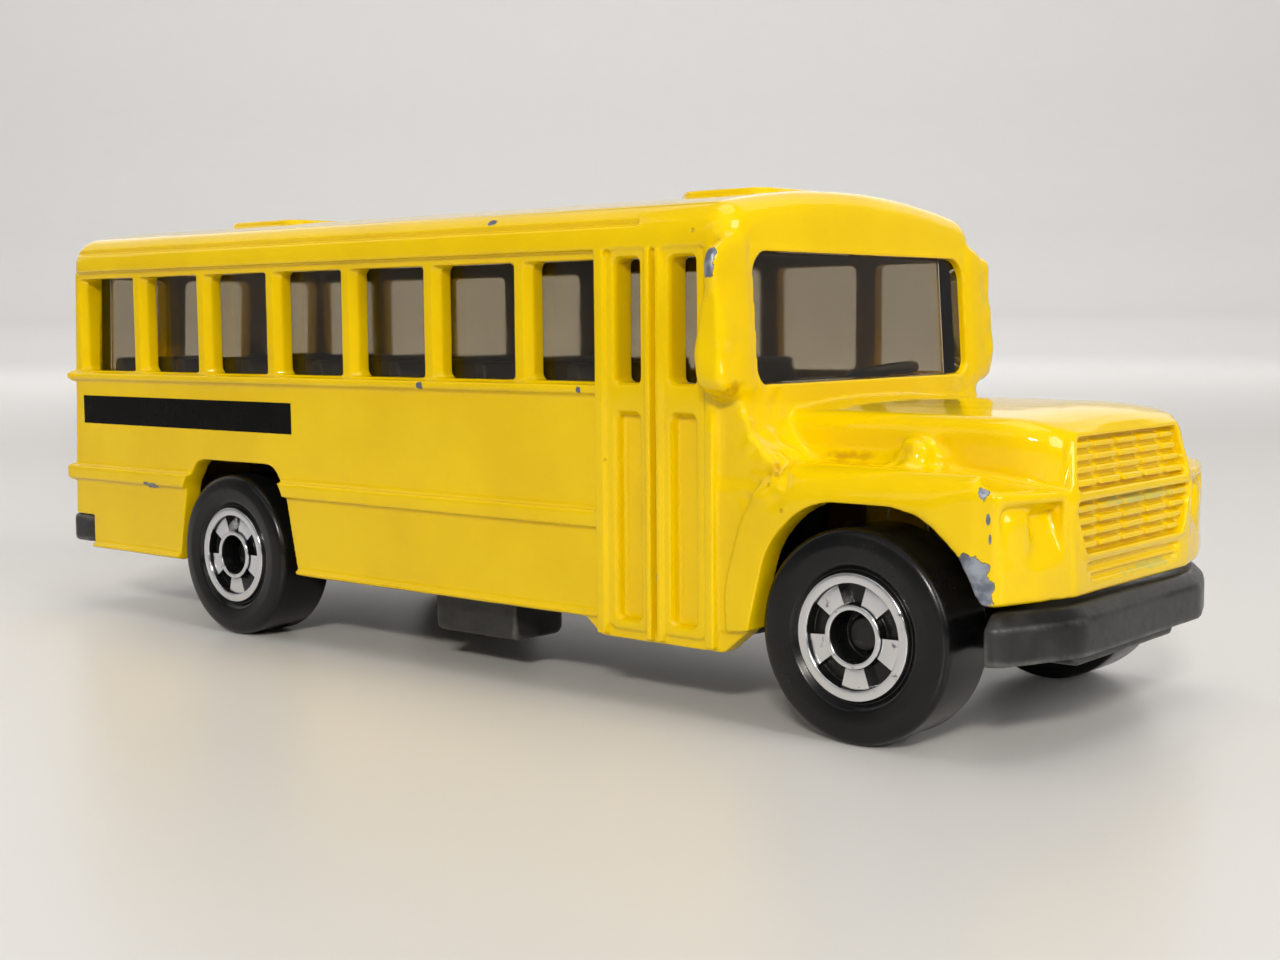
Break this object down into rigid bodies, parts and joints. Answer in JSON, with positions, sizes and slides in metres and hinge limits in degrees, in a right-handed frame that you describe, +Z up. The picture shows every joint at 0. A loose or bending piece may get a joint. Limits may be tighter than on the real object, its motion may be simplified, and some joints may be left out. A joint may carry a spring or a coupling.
{
  "type": "die-cast toy school bus",
  "caption": "Small die-cast toy school bus with a yellow cast body, glazed cabin, seats, black base with bumpers, and wheels that turn freely on wire axles",
  "frame": {"origin": "on the ground under the middle of the bus", "axes": "+X points to the hood, +Y to the driver's side, +Z up"},
  "size_m": [0.0768, 0.0274, 0.0275],
  "materials": {
    "body_paint": "glossy yellow enamel on a zinc casting",
    "smoke_window": "smoke-tinted clear plastic",
    "seat_plastic": "moulded satin black",
    "base_plastic": "moulded satin black",
    "axle_steel": "plain steel wire",
    "wheel_plastic": "black moulded wheel with a chrome foil hub face",
    "hub_chrome": "chrome foil pressed on the raised hub face",
    "stripe_ink": "black printed stripe"
  },
  "bodies": {
    "bus": {"body_casting": "body_paint", "window_insert": "smoke_window", "seat_tray": "seat_plastic", "base_plate": "base_plastic", "front_axle": "axle_steel", "rear_axle": "axle_steel"},
    "front_right_wheel": {"wheel_front_right": "wheel_plastic"},
    "front_left_wheel": {"wheel_front_left": "wheel_plastic"},
    "rear_right_wheel": {"wheel_rear_right": "wheel_plastic"},
    "rear_left_wheel": {"wheel_rear_left": "wheel_plastic"}
  },
  "joints": [
    {"name": "front_right_spin", "type": "hinge", "parent": "bus", "child": "front_right_wheel", "pos_m": [0.02895, -0.01, 0.00525], "axis": [0, 1, 0], "continuous": true},
    {"name": "front_left_spin", "type": "hinge", "parent": "bus", "child": "front_left_wheel", "pos_m": [0.02895, 0.01, 0.00525], "axis": [0, 1, 0], "continuous": true},
    {"name": "rear_right_spin", "type": "hinge", "parent": "bus", "child": "rear_right_wheel", "pos_m": [-0.0191, -0.01, 0.00525], "axis": [0, 1, 0], "continuous": true},
    {"name": "rear_left_spin", "type": "hinge", "parent": "bus", "child": "rear_left_wheel", "pos_m": [-0.0191, 0.01, 0.00525], "axis": [0, 1, 0], "continuous": true}
  ]
}
